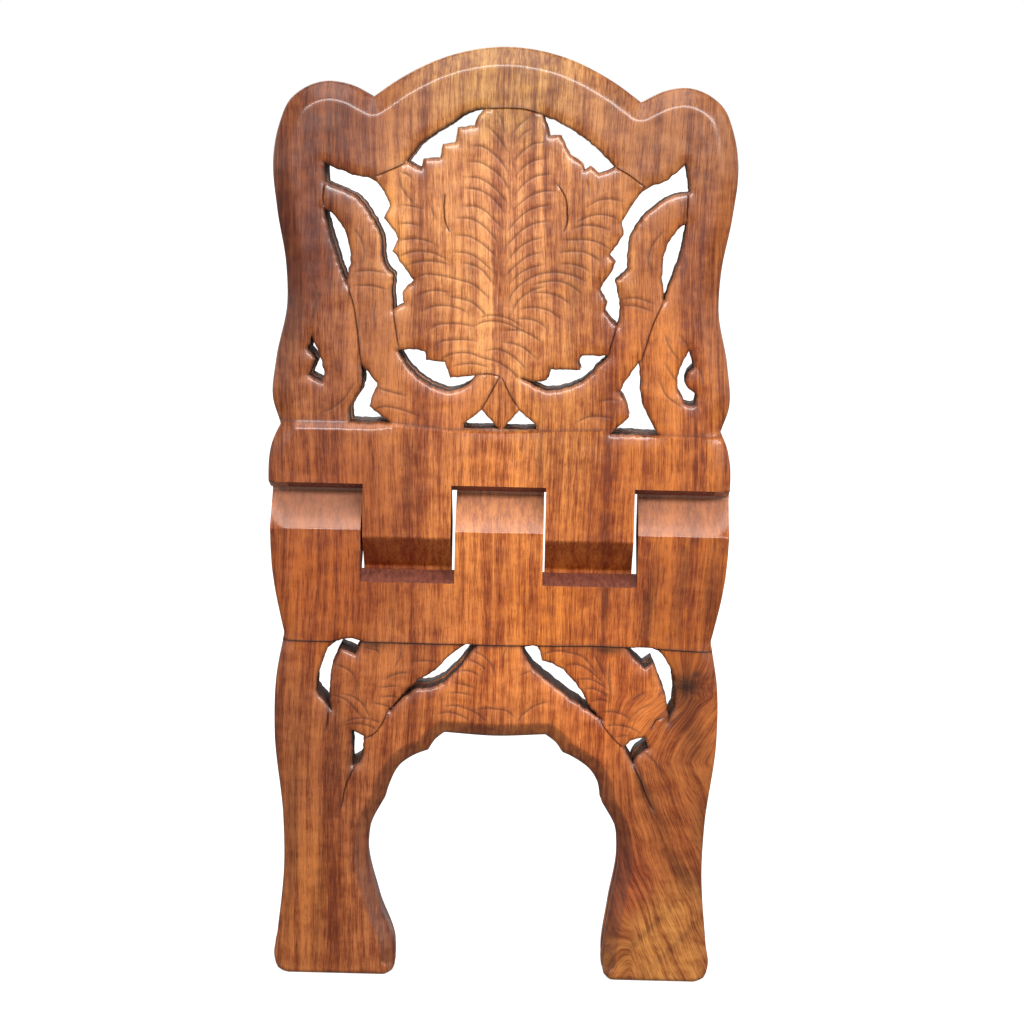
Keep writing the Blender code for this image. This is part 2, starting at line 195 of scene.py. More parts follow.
VEINS = [
    # middle leaf, left of its spine, from the top down
    [(-3.5, 329), (-2, 326), (-0.8, 322.5), (-0.3, 320)],
    [(-6.7, 323.6), (-4.1, 321), (-1.4, 317.5), (0.3, 314.8)],
    [(-12.3, 316.6), (-8.7, 316.3), (-5.2, 314.2), (-1.7, 311), (0.9, 306.9)],
    [(-13.7, 310.7), (-9.9, 310.7), (-5.8, 308.7), (-1.7, 305.5), (1.8, 299.9)],
    [(-14.6, 305.2), (-9.9, 304.9), (-5.8, 302.8), (-1.7, 299), (0.9, 295.5)],
    [(-14.9, 301.1), (-10.5, 300.8), (-6.4, 299), (-2.9, 295.8), (-0.3, 292.6)],
    [(-15.5, 294.6), (-11.1, 294.6), (-7.6, 293.2), (-4.1, 290), (-0.8, 286.7)],
    [(-17.5, 290.3), (-12.8, 290.1), (-8.7, 288.2), (-5.2, 285), (-2, 280.9)],
    [(-18.1, 284), (-13.4, 283.7), (-9.3, 281.8), (-5.8, 279.1), (-2.6, 275.9)],
    [(-18.4, 277.8), (-13.4, 277.4), (-9.3, 275.4), (-6.4, 273), (-4.1, 270.7)],
    [(-15.2, 273.9), (-11.1, 273), (-7.6, 271), (-5.5, 268.4), (-3.5, 266)],
    # and right of it
    [(7.9, 327.1), (4.4, 324.2), (1.8, 320.4)],
    [(9.1, 323), (6.2, 321.3), (4.7, 319.5)],
    [(14.1, 318.3), (10, 317.7), (6.5, 315.4), (3.2, 311.6)],
    [(14, 312.5), (10, 311.6), (5.9, 308.7), (4.1, 306.3)],
    [(16.4, 306.9), (11.1, 306), (7, 303.4), (4.1, 299.9)],
    [(18.4, 300.8), (13.5, 300.5), (9.4, 299), (5.9, 296.4), (3.2, 293.8)],
    [(17.3, 295.7), (12.3, 294.9), (8.2, 293.2), (4.7, 290.3), (1.2, 285.9)],
    [(16.4, 289.7), (11.7, 289.1), (7, 286.8), (3.5, 283.5), (0.6, 280)],
    [(14.1, 283.7), (9.4, 282.4), (5.3, 279.7), (2.4, 276.5), (1.2, 274.8)],
    [(14.1, 278.3), (9.4, 277.1), (5.3, 274.2), (1.8, 270.7), (0.3, 268.9)],
    [(14.4, 273.9), (8.8, 272.1), (4.7, 269.5), (2.4, 266.6)],
    [(30.4, 268), (25.2, 270.1), (19.3, 271.1), (13.5, 270.4), (7.6, 267.4), (3.5, 263.4), (1.8, 260.1)],
    # its lower fronds
    [(29.3, 262.8), (25.8, 265.7), (21.1, 267.7), (15.8, 267.7), (11.1, 266.3)],
    [(15.2, 265.7), (11.1, 264.5), (7, 261.9), (4.7, 259), (3.2, 255.5)],
    [(24.9, 259.3), (21.1, 261.9), (15.8, 263.5), (11.1, 263.4)],
    [(21.1, 254), (18.2, 256.3), (14.6, 257.7), (10.6, 258.1), (6.2, 257.2)],
    [(16.4, 250.2), (12.9, 252.8), (9.4, 253.7), (5.3, 253.7)],
    [(14.6, 245.2), (10, 248.1), (5.9, 249.4), (0.3, 249.3)],
    [(-19.9, 261.3), (-15.8, 260.7), (-11.7, 259.5), (-8.7, 257.2), (-5.2, 253.4)],
    [
        (-32.7, 268), (-29.2, 269.3), (-24.5, 269.2), (-15.8, 267.4),
        (-11.7, 266.3), (-8.7, 264.2), (-5.2, 261),
    ],
    [(-31.3, 261.6), (-28, 263.1), (-23.9, 263.5), (-19.9, 262.8)],
    [(-29.5, 256), (-25.7, 257.7), (-21, 258), (-15.8, 256.9), (-13.1, 255.5)],
    [(-27.5, 248.7), (-23.4, 251.1), (-19.9, 251.4), (-15.8, 251.4), (-10.5, 250.5)],
    [(-10.5, 250.6), (-7.6, 252.2), (-2.9, 252.7), (1.8, 251.8), (5.3, 250.2), (9.4, 248.4)],
    [(-8.7, 253.8), (-5.2, 254.8), (-0.6, 254.4), (3.5, 253.1), (7.3, 250.5)],
    [(-24.8, 243.1), (-22.2, 244.9), (-19.3, 245.3), (-14.6, 245.6), (-9.9, 245.2)],
    [(0, 245), (4.1, 244.5), (7.6, 243.2), (12.3, 239.4)],
    [(-5.8, 241.7), (-2.3, 242.3), (1.8, 241.1), (5.3, 238.8), (9.4, 234.4)],
    [
        (-22.8, 237.9), (-19.9, 239.7), (-15.8, 240.7), (-11.1, 240.4), (-7.6, 239.1),
        (-2.9, 238), (1.8, 235.6), (5.3, 232.6), (7, 230.6),
    ],
    [(-18.1, 235.6), (-14.6, 236.5), (-9.9, 236.7), (-5.2, 235.6)],
    # left lobe of the leaf
    [(-38.9, 306.2), (-38.6, 302.3), (-36.2, 298.2), (-33.3, 294.6)],
    [(-38.9, 306.3), (-36.2, 305.8), (-33.9, 303.7)],
    [(-38, 294.6), (-33.9, 294.1), (-30.4, 293.2)],
    [(-27.2, 294.6), (-26.3, 291.7), (-25.4, 289.7)],
    [(-39, 287.6), (-35.6, 287.9), (-31, 287)],
    [(-38.9, 281.5), (-35.1, 282.2), (-30.4, 282.1), (-25.1, 280.3)],
    [(-38.9, 275.6), (-35.1, 277.2), (-30.4, 277.8), (-25.7, 277.1), (-21, 274.8)],
    [(-35.4, 272.7), (-31.5, 273.9), (-27.5, 274.3), (-23.4, 273.9), (-20.4, 273)],
    # right lobe
    [(29.6, 305.8), (30.4, 302.3), (30.4, 298.7)],
    [(33.1, 306.3), (33.7, 302.3), (33.4, 298.7)],
    [(42.7, 297.6), (38, 298.3), (33.9, 297.6), (30.4, 295.7)],
    [(41.3, 291.1), (39.8, 291.7), (34.5, 292.6), (30.4, 291.7), (26.6, 289.4)],
    [(38.6, 287), (33.4, 288.4), (28.7, 288.4), (24.6, 287)],
    [(39.2, 279.7), (35.7, 281.8), (31.6, 283.1), (26.3, 283.2), (21.7, 283)],
    [(35.7, 275.1), (33.9, 276.5), (29.9, 278.6), (25.2, 279), (20.5, 278.4)],
    [(31.6, 271.5), (29.3, 273), (25.2, 274.2), (20.5, 274.2)],
    # buds and vases at both sides
    [(-55.4, 285.6), (-52.6, 281.4), (-51.5, 276.6), (-52.2, 272.4)],
    [(-55, 269.8), (-49.1, 270.3), (-43.6, 269.5)],
    [(-55, 264.6), (-49.1, 264.8), (-42.9, 263.4)],
    [(-47, 259.2), (-47.7, 254.4), (-46.7, 247.4)],
    [(-69.9, 265.5), (-68.6, 260.6), (-69.3, 256.4), (-71.3, 249.5)],
    [(-66.5, 217.2), (-62.3, 219.3), (-58.1, 223.1), (-54.7, 228.7)],
    [(-46, 226.9), (-40.8, 225.5), (-35.2, 224.2)],
    [(-48.4, 218.6), (-43.6, 220), (-38, 219.3), (-31, 217)],
    [(58.3, 287), (54.2, 281.4), (53.1, 275.9), (54.2, 271.7)],
    [(55.6, 260.3), (48.6, 262.3), (43.4, 261.9)],
    [(54.9, 257.5), (48.6, 259.4), (43.4, 259.4)],
    [(65.6, 248.8), (67.3, 246.6), (69.2, 244.4)],
    [(59.7, 249.5), (62.5, 243.3), (66.2, 239)],
    [(60.4, 238.4), (62.9, 234.3), (65.4, 230.8)],
    [(58.3, 232.1), (61.1, 226.6), (66.7, 222.4)],
    [(71.5, 238.4), (74.3, 233.5), (74.7, 230)],
    [(36.1, 223.5), (40, 224.4), (43.1, 224.2)],
    [(27.8, 215.5), (32.6, 217.9), (37.5, 218.1), (41.7, 217.4)],
    # leaf clusters under the hinge
    [(-60.6, 121.6), (-56.7, 120.3), (-54.1, 118.3), (-52.4, 114.4), (-53.4, 109.8)],
    [(-61.5, 109.8), (-57.3, 108.5), (-54.1, 105.9), (-51.4, 102.6), (-49.5, 100.7)],
    [(-58.6, 110.5), (-53.4, 109.2), (-50.1, 106.5), (-48.2, 103.3), (-47.2, 100.7)],
    [(-57.3, 99.4), (-53.4, 100.8), (-48.2, 101), (-42.9, 99.4)],
    [(-58, 98.1), (-53.4, 99), (-48.2, 98.4), (-44.2, 96.7)],
    [(-35.8, 129.4), (-36.4, 124.8), (-38.4, 120.9)],
    [(-42.3, 116.4), (-37.7, 118.6), (-32.5, 119.3)],
    [(-31.8, 123.5), (-26.6, 123.9), (-21.4, 123.5)],
    [(-44.2, 113.1), (-40.3, 113.7), (-35.8, 114.1)],
    [(-43.6, 109.5), (-39, 109.9), (-34.4, 108.8)],
    [(-46.9, 107.2), (-42.3, 106.5), (-38.5, 105.2)],
    [(-49.5, 128.4), (-44.9, 127.5), (-43.5, 125.5)],
    [(-9.6, 128.1), (-5.7, 126.8), (-1.8, 122.9), (0, 119)],
    [(-10.9, 124.8), (-7, 123.5), (-3.1, 120.3)],
    [(-14.8, 120.2), (-9.6, 120.3), (-5.7, 118.3)],
    [(-16.1, 115.7), (-11.6, 115), (-7.6, 113.7)],
    [(-17.5, 111.8), (-12.9, 111.8), (-8.3, 110.8)],
    [(-19.4, 106.5), (-14.8, 106.9), (-10.3, 105.6), (-5.7, 103.3), (-2.4, 100)],
    [(-22, 103.3), (-18.1, 104.3), (-13.5, 103.3), (-9.6, 101.3)],
    [(-7, 105.6), (-2.4, 106.2), (0, 105.9), (4.6, 105.2), (7.8, 102.6)],
    [(20.3, 109.2), (18.3, 108.8), (14.4, 107.2), (11.8, 105.2), (9.8, 103.3), (8.5, 100)],
    [(9.2, 119.3), (13.1, 120.9)],
    [(3.9, 130), (2.6, 125.5), (2.9, 122.9)],
    [(38.6, 119), (35.9, 123.5), (32.7, 126.8), (27.5, 128.4), (21.6, 128.8), (17.6, 127.3)],
    [(40.5, 117), (39.2, 118.3), (35.3, 121.6), (30.7, 123.9), (26.1, 123.4)],
    [(42.5, 114.4), (39.2, 116.7), (35.3, 118.3), (30.6, 118)],
    [(43.1, 111.1), (40.5, 113.1), (36.6, 114.7), (33.4, 114.4)],
    [(43.1, 109.5), (39.9, 110.5), (36.6, 109.9)],
    [(51.6, 102.6), (49, 104.6), (44.4, 105.9), (39.9, 105.6)],
    [(54.9, 98.1), (51, 100), (45.8, 100.8), (41.5, 100.3)],
    [(51.3, 96.6), (49, 96.7), (45.5, 96.1)],
    [(36.6, 129.1), (39.2, 123.5), (41.8, 118.3)],
    [(42.8, 124.9), (42.8, 117), (43.8, 112.4)],
    [(51, 109.8), (54.2, 112.4), (56.9, 113.7)],
    [(51.6, 103.9), (54.9, 107.2), (58.8, 109.2)],
    [(57.2, 90.2), (60.8, 86.9), (64.1, 81.7)],
]
# Deeper cuts that part the leaf from the frame and the legs from the arch.
PARTING_CUTS = [
    [(-47.5, 304.8), (-44, 306.4), (-40.8, 307.8), (-37.2, 309.6)],
    [(-8, 330), (0, 330.3), (6, 330.1), (13, 328.4)],
    [(39.9, 309.9), (45.1, 307.1), (50.7, 303)],
    [(-40.6, 255.6), (-40, 251.6), (-38.4, 242)],
    [(41.9, 251), (40.6, 246.5), (39.4, 241)],
    [(-57.6, 264.4), (-55.4, 257.8), (-54, 249.5), (-52.4, 236.5)],
    [(58.9, 260.6), (55.6, 253), (53.5, 246), (51.6, 239.2)],
    [(-22.2, 298.5), (-22.4, 294), (-22, 289.5), (-20.6, 285.3)],
    [(19.3, 302.8), (21.7, 299.3), (22.8, 294.6), (22.8, 289.4), (22, 286.5)],
    [(-66.6, 302), (-66.9, 297), (-66.6, 293.2)],
    [(66.9, 300.9), (66.8, 296), (66.9, 290.6)],
    [(-1, 231.6), (-4, 226), (-7, 220.2)],
    [(0.3, 231.3), (3.4, 225), (6.6, 220.2)],
    [(-8.4, 232.7), (-5, 233), (-1, 232.3)],
    [(-40.9, 103.4), (-42.9, 99), (-45.4, 95.5), (-49, 93.2)],
    [(39.9, 102), (43, 97.8), (46, 94.5), (49.2, 91.4)],
    [(52.8, 85), (55.6, 79.7), (57.9, 74), (60.8, 68)],
    [(-53.2, 82), (-56.5, 74), (-57.8, 66)],
    [(63.8, 104), (60.8, 102.9), (59.4, 100)],
    [(-63.2, 103.5), (-63.6, 99.5), (-63.9, 96.5)],
]
VEIN_DEPTH, CUT_DEPTH = 0.08, 0.6
STEEP, SHALLOW = 0.25, 0.55  # how far a cut's upper and lower walls reach from its bottom
CUT_STEP = 0.8  # spacing of points along a cut
SHADE_REACH = 0.45  # painted shade darkens a cut this far to both sides
FULL_SHADE_DEPTH = 0.1  # and is as dark as it gets from this depth on
# The lines where the plain block round the hinge stands proud of the carved panels, and how
# wide its upper edge is bevelled there, as (x, height) and (x, width).
BLOCK_TOP = [
    (-90, 213.8), (-60, 213.9), (-42, 214.2), (-19, 212), (0, 211.6), (15, 212.1), (41, 213),
    (57, 211.6), (90, 211.2),
]
TOP_BEVEL = [(-90, 2.6), (-46, 2.4), (-38, 1.3), (-19, 1), (0, 0.8), (30, 0.5), (58, 1), (90, 0.8)]
BLOCK_FOOT = [(-90, 130.9), (-40, 131), (0, 130.8), (20, 131.1), (37, 131.5), (60, 130.9), (90, 129.6)]
FOOT_BEVEL = 0.35
SET_BACK = 1.5  # the carved panels lie this far below the block
BLOCK = (131, 212.5)  # the block's foot and top, near enough for its arrises
ARCH_HALF_WIDTH = 52
SOLE = 1.2  # the bottom edge is eased up to this height
# Each part's arris: how far in it is rounded, how steeply, and how dark it is painted as shade.
ARRISES = {
    "legs": (4.5, 0.5, 0.12),
    "book rest": (7.2, 0.6, 0.12),
    "block": (6, 0.42, 0.12),
    "arch": (5.8, 0.75, 0.5),
    "soles": (1.6, 0.5, 0.12),
}


def between(table, x):
    return np.interp(x, [p[0] for p in table], [p[1] for p in table])


def edge_roll(x, z):
    """The width, steepness and painted shade of the arris beside each point of the outline."""
    foot, top = BLOCK
    places = {
        "book rest": z > top,
        "block": (z <= top) & (z > foot),
        "arch": (z < foot) & (np.abs(x) < ARCH_HALF_WIDTH) & (z > SOLE),
        "soles": z <= SOLE,
    }
    arris = np.tile(ARRISES["legs"], (len(x), 1))
    for part, place in places.items():
        arris[place] = ARRISES[part]
    blend = np.ones(9) / 9  # one kind of arris runs into the next over nine points
    return [np.convolve(np.pad(kind, 4, mode="wrap"), blend, "valid") for kind in arris.T]


def tree_of(points):
    tree = kdtree.KDTree(len(points))
    for i, (x, z) in enumerate(points):
        tree.insert((x, z, 0), i)
    tree.balance()
    return tree


def nearest(tree, points):
    """How far each point is from the tree's nearest one, and which one that is."""
    found = [tree.find((x, z, 0))[1:] for x, z in points]
    return np.array([f[1] for f in found]), np.array([f[0] for f in found], int)


def along(run):
    """Unit tangent at each point of an open run."""
    step = np.gradient(run, axis=0)
    return step / np.linalg.norm(step, axis=1)[:, None]


def gouged(lines, depth):
    """Points, tangents and depths along cuts that grow shallow towards both ends."""
    cuts = []
    for line in lines:
        run = smooth_run(np.array(line, float), CUT_STEP, closed=False)
        from_end = np.minimum(np.arange(len(run)), np.arange(len(run))[::-1]) * CUT_STEP
        cuts.append((run, along(run), depth * np.clip(0.35 + from_end / 4, 0, 1)))
    return cuts


CUTS = gouged(VEINS, VEIN_DEPTH) + gouged(PARTING_CUTS, CUT_DEPTH)
cut_points, cut_ways, cut_depths = (np.concatenate([c[k] for c in CUTS]) for k in range(3))
cut_tree = tree_of(cut_points)


def cut_side(way):
    """The direction across a cut that points down, or inward where the cut is upright."""
    across = np.stack([way[:, 1], -way[:, 0]], 1)
    return across * np.where(across[:, 1:] > 0, -1, 1)


def fading(distance, reach):
    """1 at a line and 0 from reach away on."""
    return np.clip(1 - distance / reach, 0, 1)


def carved(points, outline_tree, arris, opening_tree):
    """How deep the plank's face is cut at each point, how dark it is painted as shade, and its arris
    alone.
    """
    x, z = points.T
    # the arris, rounded by the rasp, with a small extra break at the very edge
    away, at = nearest(outline_tree, points)
    width, slope, arris_shade = (kind[at] for kind in arris)
    inward = np.clip(width - away, 0, None)
    ease = 1.4 + 0.8 * ((z < 212) & (z > 131))  # rounder on the block
    roll = slope * (np.sqrt(inward**2 + ease**2) - ease)
    depth = roll + 0.7 * fading(away, 1.3) ** 2
    # painted shade: each arris is darkened, most on the arch's bevel
    dark = arris_shade * np.clip(inward / 0.9, 0, 1)
    # the carved panels, set back from the block, with painted shade along both steps
    top, foot, bevel = between(BLOCK_TOP, x), between(BLOCK_FOOT, x), between(TOP_BEVEL, x)
    depth += SET_BACK * np.clip((z - top + bevel) / bevel, 0, 1)
    depth += SET_BACK * np.clip((foot - z) / FOOT_BEVEL, 0, 1)
    dark = np.maximum(dark, 0.8 * fading(np.abs(z - top - 0.2), 0.7))
    dark = np.maximum(dark, 0.9 * fading(np.abs(z - foot + 0.3), 0.8))
    # the openings' edges, sanded over and painted dark as shade
    to_hole, _ = nearest(opening_tree, points)
    depth += 0.5 * fading(to_hole, 1) ** 2 + 0.55 * fading(to_hole, 4.5) ** 2
    dark = np.maximum(dark, 0.75 * fading(to_hole, 1.1))
    # the cuts, each a slanting V whose bottom is painted dark as shade
    _, near = nearest(cut_tree, points)
    gap = points - cut_points[near]
    off = (gap * cut_side(cut_ways[near])).sum(1)
    past_end = np.abs((gap * cut_ways[near]).sum(1)) > 0.7  # not beside a cut but off its end
    groove = np.where(off > 0, 1 - off / SHALLOW, 1 + off / STEEP)
    depth += np.where(past_end, 0, np.clip(groove, 0, 1)) * cut_depths[near]
    line = np.where(past_end, 0, fading(np.abs(off), SHADE_REACH))
    dark = np.maximum(dark, line * np.clip(cut_depths[near] / FULL_SHADE_DEPTH, 0, 1))
    # the swells that hand scraping leaves in a face
    swell = noise_at(points, 13, 21, 3.7) + 0.5 * noise_at(points, 5, 6, 9.1)
    depth += 0.16 * (swell + 1) * np.clip(away / 3, 0, 1)
    return depth, dark, roll


# ---- The two leaves -----------------------------------------------------------------------
# Each leaf is one piece of rosewood (sheesham): a carved book rest, a carved leg on the other
# side of the saw cut, and the fingers between them that turn in the other leaf's gaps.

FIELD_STEP = 0.95  # spacing of points over a carved face
PLAIN_STEP = 4.5  # and over the flat face that the saw left
GAP_STEP = 1.4  # along the ends of the hinge gaps
CLOSE = 0.42  # a row's points keep this far from every edge and line
SHORT_OF_SIDES, PAST_SIDES = 86, 88  # just inside and just outside the plank's sides
FIELD_HEIGHT = 2 * AXIS + 20  # the field's rows reach past the top of the crest
BESIDE_OUTLINE = (0.5, 1.2, 2, 3, 4, 5, 5.8, 6.5, 7.2, 8, 9)  # rows that carry the arris
BESIDE_OPENINGS = (0.55, 1.2, 2.1, 3.2)
ROUND_FINGERS = (80, 20)  # walls this near the axis, along x and z, are round the fingers
CREASE = math.radians(38)  # the shading breaks where faces meet more sharply than this
POLISHED, SHADED_OPENING_WALLS, STAINED = range(3)  # a leaf's material slots, in the order they are filled


def inside(points, loops):
    """Which points lie on wood, inside the outer loop and outside the holes."""
    start = np.concatenate(loops)
    end = np.concatenate([np.roll(loop, -1, 0) for loop in loops])
    result = np.zeros(len(points), bool)
    batch = 1500  # points taken at once, to spare memory
    for first in range(0, len(points), batch):
        x, z = points[first : first + batch].T[:, :, None]
        spans = (start[:, 1] > z) != (end[:, 1] > z)
        with np.errstate(divide="ignore", invalid="ignore"):
            share = (z - start[:, 1]) / (end[:, 1] - start[:, 1])
            crossing = start[:, 0] + share * (end[:, 0] - start[:, 0])
        result[first : first + batch] = (spans & (crossing > x)).sum(1) % 2 == 1
    return result


def stencil(loops):
    """A test like inside() that looks points up in a grid: quicker, and true to a tenth of a mm."""
    cell, low = 0.1, (-90.0, -2.0)
    columns, rows = 1800, 3600
    grid = np.zeros((rows, columns), np.int8)
    start = np.concatenate(loops)
    end = np.concatenate([np.roll(loop, -1, 0) for loop in loops])
    for (ax, az), (bx, bz) in zip(start, end):
        if az > bz:
            ax, az, bx, bz = bx, bz, ax, az
        crossed = np.arange(math.ceil((az - low[1]) / cell), math.ceil((bz - low[1]) / cell))
        if len(crossed):
            x = ax + (low[1] + crossed * cell - az) / (bz - az) * (bx - ax)
            np.add.at(grid, (crossed, np.ceil((x - low[0]) / cell).astype(int)), 1)
    wood = np.cumsum(grid, axis=1, dtype=np.int32) % 2 == 1

    def covers(points):
        column, row = np.round((points - low) / cell).astype(int).T
        return wood[np.clip(row, 0, rows - 1), np.clip(column, 0, columns - 1)]

    return covers


def leaf_loops(plank, open_at_sides):
    """The leaf's closed runs of points, with the hinge gaps drawn square to the faces."""
    upper_arc, lower_arc = plank["arcs"]
    s = plank["sides"]
    ledge = plank["ledge"]
    top, foot = AXIS + ledge, AXIS - ledge
    # heights of the points up a gap's side, with more where a finger's slope starts and ends
    heights = set(np.linspace(foot, top, 34))
    for bend in (plank["lip"], plank["slope_end"]):
        for shift in (-0.8, 0, 0.8):
            t = (bend + shift + ledge) / (ledge + plank["inner_ledge"])
            heights |= {foot + t * (top - foot), top - t * (top - foot)}
    up = np.array(sorted(heights))

    def side(x, rising):
        z = up if rising else up[::-1]
        return np.stack([np.full(len(z), x), z], 1)

    def hole(left, right):
        over = straight_run((left, top), (right, top), GAP_STEP)[1:]
        under = straight_run((right, foot), (left, foot), GAP_STEP)[1:]
        return np.concatenate([side(left, True), over, side(right, False), under])

    if open_at_sides:
        outer = np.concatenate([
            upper_arc[:-1],
            straight_run(upper_arc[-1], (s[0], top), GAP_STEP),
            side(s[0], False),
            straight_run((s[0], foot), lower_arc[0], GAP_STEP)[1:],
            lower_arc[:-1],
            straight_run(lower_arc[-1], (s[3], foot), GAP_STEP),
            side(s[3], True),
            straight_run((s[3], top), upper_arc[0], GAP_STEP)[1:],
        ])
        holes = [hole(s[1], s[2])]
    else:
        outer = np.concatenate([upper_arc, lower_arc])
        holes = [hole(s[0], s[1]), hole(s[2], s[3])]
    return [outer, *holes, *plank["openings"]], 1 + len(holes)


def settled(z, upper, lower, ledge):
    """Moves the hinge gaps' ends to where this face has its ledges."""
    t = z - AXIS
    fade = 10  # the move dies out this far past a ledge
    within = lower + (t + ledge) / (2 * ledge) * (upper - lower)
    above = t + (upper - ledge) * np.clip(1 - (t - ledge) / fade, 0, 1) ** 2
    below = t + (lower + ledge) * np.clip(1 - (-ledge - t) / fade, 0, 1) ** 2
    return AXIS + np.where(t > ledge, above, np.where(t < -ledge, below, within))


def level(t, plank):
    """Distance of this face from the plank's middle at t above the axis, its edges eased."""
    far = 200  # past both ends of the leaf
    bends = np.array([-far, -plank["slope_end"], -plank["lip"], far])
    out = np.array([-SAW_FACE, -SAW_FACE, FULL, FULL])
    return np.mean([np.interp(t + o, bends, out) for o in np.linspace(-0.3, 0.3, 7)], axis=0)


def thinned(points):
    """One point from each small cell, for rows that two edges share."""
    chosen, taken = [], set()
    for x, z in points:
        cell = (round(x / 0.62), round(z / 0.62))
        if cell not in taken:
            taken.add(cell)
            chosen.append((x, z))
    return np.array(chosen)


def face_points(plank, loops, hinge_loops, way):
    """A face's points with its loops first, and the links that its triangles must keep."""
    covers = stencil(loops)
    edge = np.concatenate(loops)
    edge_tree = tree_of(edge)
    links, lines = [], []
    first = 0
    for loop in loops:
        links += [(first + i, first + (i + 1) % len(loop)) for i in range(len(loop))]
        first += len(loop)

    def is_carved(points):
        return (points[:, 1] - AXIS + plank["lip"] * way) * way > 0

    def draw(line, margin):
        """Adds the stretches of a line that lie on carved wood, at least margin from any edge."""
        clear = (nearest(edge_tree, line)[0] > margin) & covers(line) & is_carved(line)
        for i, point in enumerate(line):
            if clear[i]:
                number = len(edge) + len(lines)
                if i and clear[i - 1]:
                    links.append((number - 1, number))
                lines.append(point)

    # each cut as three lines, and each step of the block as two
    for run, ways, _ in CUTS:
        for shift in (-STEEP, 0, SHALLOW):
            draw(run + cut_side(ways) * shift, 0.75)
    x = np.arange(-SHORT_OF_SIDES, SHORT_OF_SIDES, EDGE_STEP)
    top, foot = between(BLOCK_TOP, x), between(BLOCK_FOOT, x)
    for z in (top, top - between(TOP_BEVEL, x), foot, foot - FOOT_BEVEL):
        draw(np.stack([x, z], 1), 0.6)
    points = np.concatenate([edge, lines])

    # rows beside the edges
    rows = []
    for some, distances in ((loops[:1], BESIDE_OUTLINE), (loops[hinge_loops:], BESIDE_OPENINGS)):
        for loop in some:
            step = np.roll(loop, -1, 0) - np.roll(loop, 1, 0)
            inward = np.stack([-step[:, 1], step[:, 0]], 1) / np.linalg.norm(step, axis=1)[:, None]
            rows += [loop + inward * distance for distance in distances]
    rows = np.concatenate(rows)
    rows = rows[covers(rows) & is_carved(rows)]
    rows = rows[nearest(edge_tree, rows)[0] > CLOSE]
    rows = rows[nearest(tree_of(points), rows)[0] > CLOSE]
    points = np.concatenate([points, thinned(rows)])

    # level rows where a finger's slope starts and ends, then an even field
    sheets = []
    x = np.arange(-PAST_SIDES, PAST_SIDES, EDGE_STEP)
    for bend in (-plank["slope_end"], -plank["lip"]):
        for shift in (-1.1, -0.6, -0.2, 0.2, 0.6, 1.1):
            row = np.stack([x, np.full(len(x), AXIS + (bend + shift) * way)], 1)
            sheets.append((row, 0.3))
    for spacing, fine, gap in ((FIELD_STEP, True, 0.6), (PLAIN_STEP, False, 1.5)):
        up = np.arange(0, FIELD_HEIGHT, spacing * 0.866)
        x, z = np.meshgrid(np.arange(-PAST_SIDES, PAST_SIDES, spacing), up)
        x[::2] += spacing / 2  # so that the triangles come out even
        field = np.stack([x.ravel(), z.ravel()], 1)
        on_fine_side = (field[:, 1] - AXIS) * way + plank["slope_end"] > 0
        sheets.append((field[on_fine_side == fine], gap))
    for sheet, gap in sheets:
        sheet = sheet[covers(sheet)]
        sheet = sheet[nearest(edge_tree, sheet)[0] > min(gap, 0.6)]
        sheet = sheet[nearest(tree_of(points), sheet)[0] > gap]
        points = np.concatenate([points, sheet])
    return points, links


def face_of_leaf(plank, loops, hinge_loops, side, way):
    """One face of a leaf. side is -1 in front and 1 behind; way is 1 if its carved half is above."""
    ledge, inner, lip = plank["ledge"], plank["inner_ledge"], plank["lip"]
    upper, lower = (ledge, -inner) if way > 0 else (inner, -ledge)
    loops = [np.stack([loop[:, 0], settled(loop[:, 1], upper, lower, ledge)], 1) for loop in loops]
    wanted, links = face_points(plank, loops, hinge_loops, way)
    made = delaunay_2d_cdt([Vector(p) for p in wanted], links, [], 0, 1e-5, True)
    points = np.array([tuple(v) for v in made[0]])
    edge_count = sum(len(loop) for loop in loops)
    number = {source: i for i, sources in enumerate(made[3]) for source in sources}
    rim = [number[i] for i in range(edge_count)]

    # triangles between edge points alone may span an opening
    triangles = np.array(made[2])
    on_rim = np.zeros(len(points), bool)
    on_rim[rim] = True
    doubtful = on_rim[triangles].all(1)
    good = ~doubtful
    good[doubtful] = inside(points[triangles].mean(1)[doubtful], loops)

    arcs = np.concatenate(plank["arcs"])
    outline_tree = tree_of(arcs)
    opening_tree = tree_of(np.concatenate(loops[hinge_loops:]))
    depth, dark, roll = carved(points, outline_tree, edge_roll(*arcs.T), opening_tree)
    t = (points[:, 1] - AXIS) * way
    on = np.clip(t + lip + 0.5, 0, 1)  # 1 on the carved half, 0 on a finger's slope
    spent = np.clip(1 + (t + lip) / 8, 0, 1) * (1 - on)  # the arris fades up a finger's slope
    y = side * np.maximum(level(t, plank) - depth * on - roll * spent, -SAW_FACE)

    # the slopes: painted shade where they face down under the fingers, a painted pale sheen where they
    # face up and show above
    if way > 0:
        slope = np.clip((-lip - t) / 1.5, 0, 1) * np.clip((t + plank["slope_end"] + 4) / 4, 0, 1)
    else:
        away, _ = nearest(outline_tree, points)
        unrolled = away - 4.6 * (1 - np.clip((-lip - t) / 5, 0, 1)) ** 2
        slope = -np.clip((-lip - t) / 0.4, 0, 1) * np.clip(unrolled / 0.5, 0, 1)
    return {
        "xyz": np.stack([points[:, 0], y, points[:, 1]], 1),
        "triangles": triangles[good],
        "rim": rim,
        "dark": dark * on,
        "slope": slope,
        "loops": [len(loop) for loop in loops],
    }


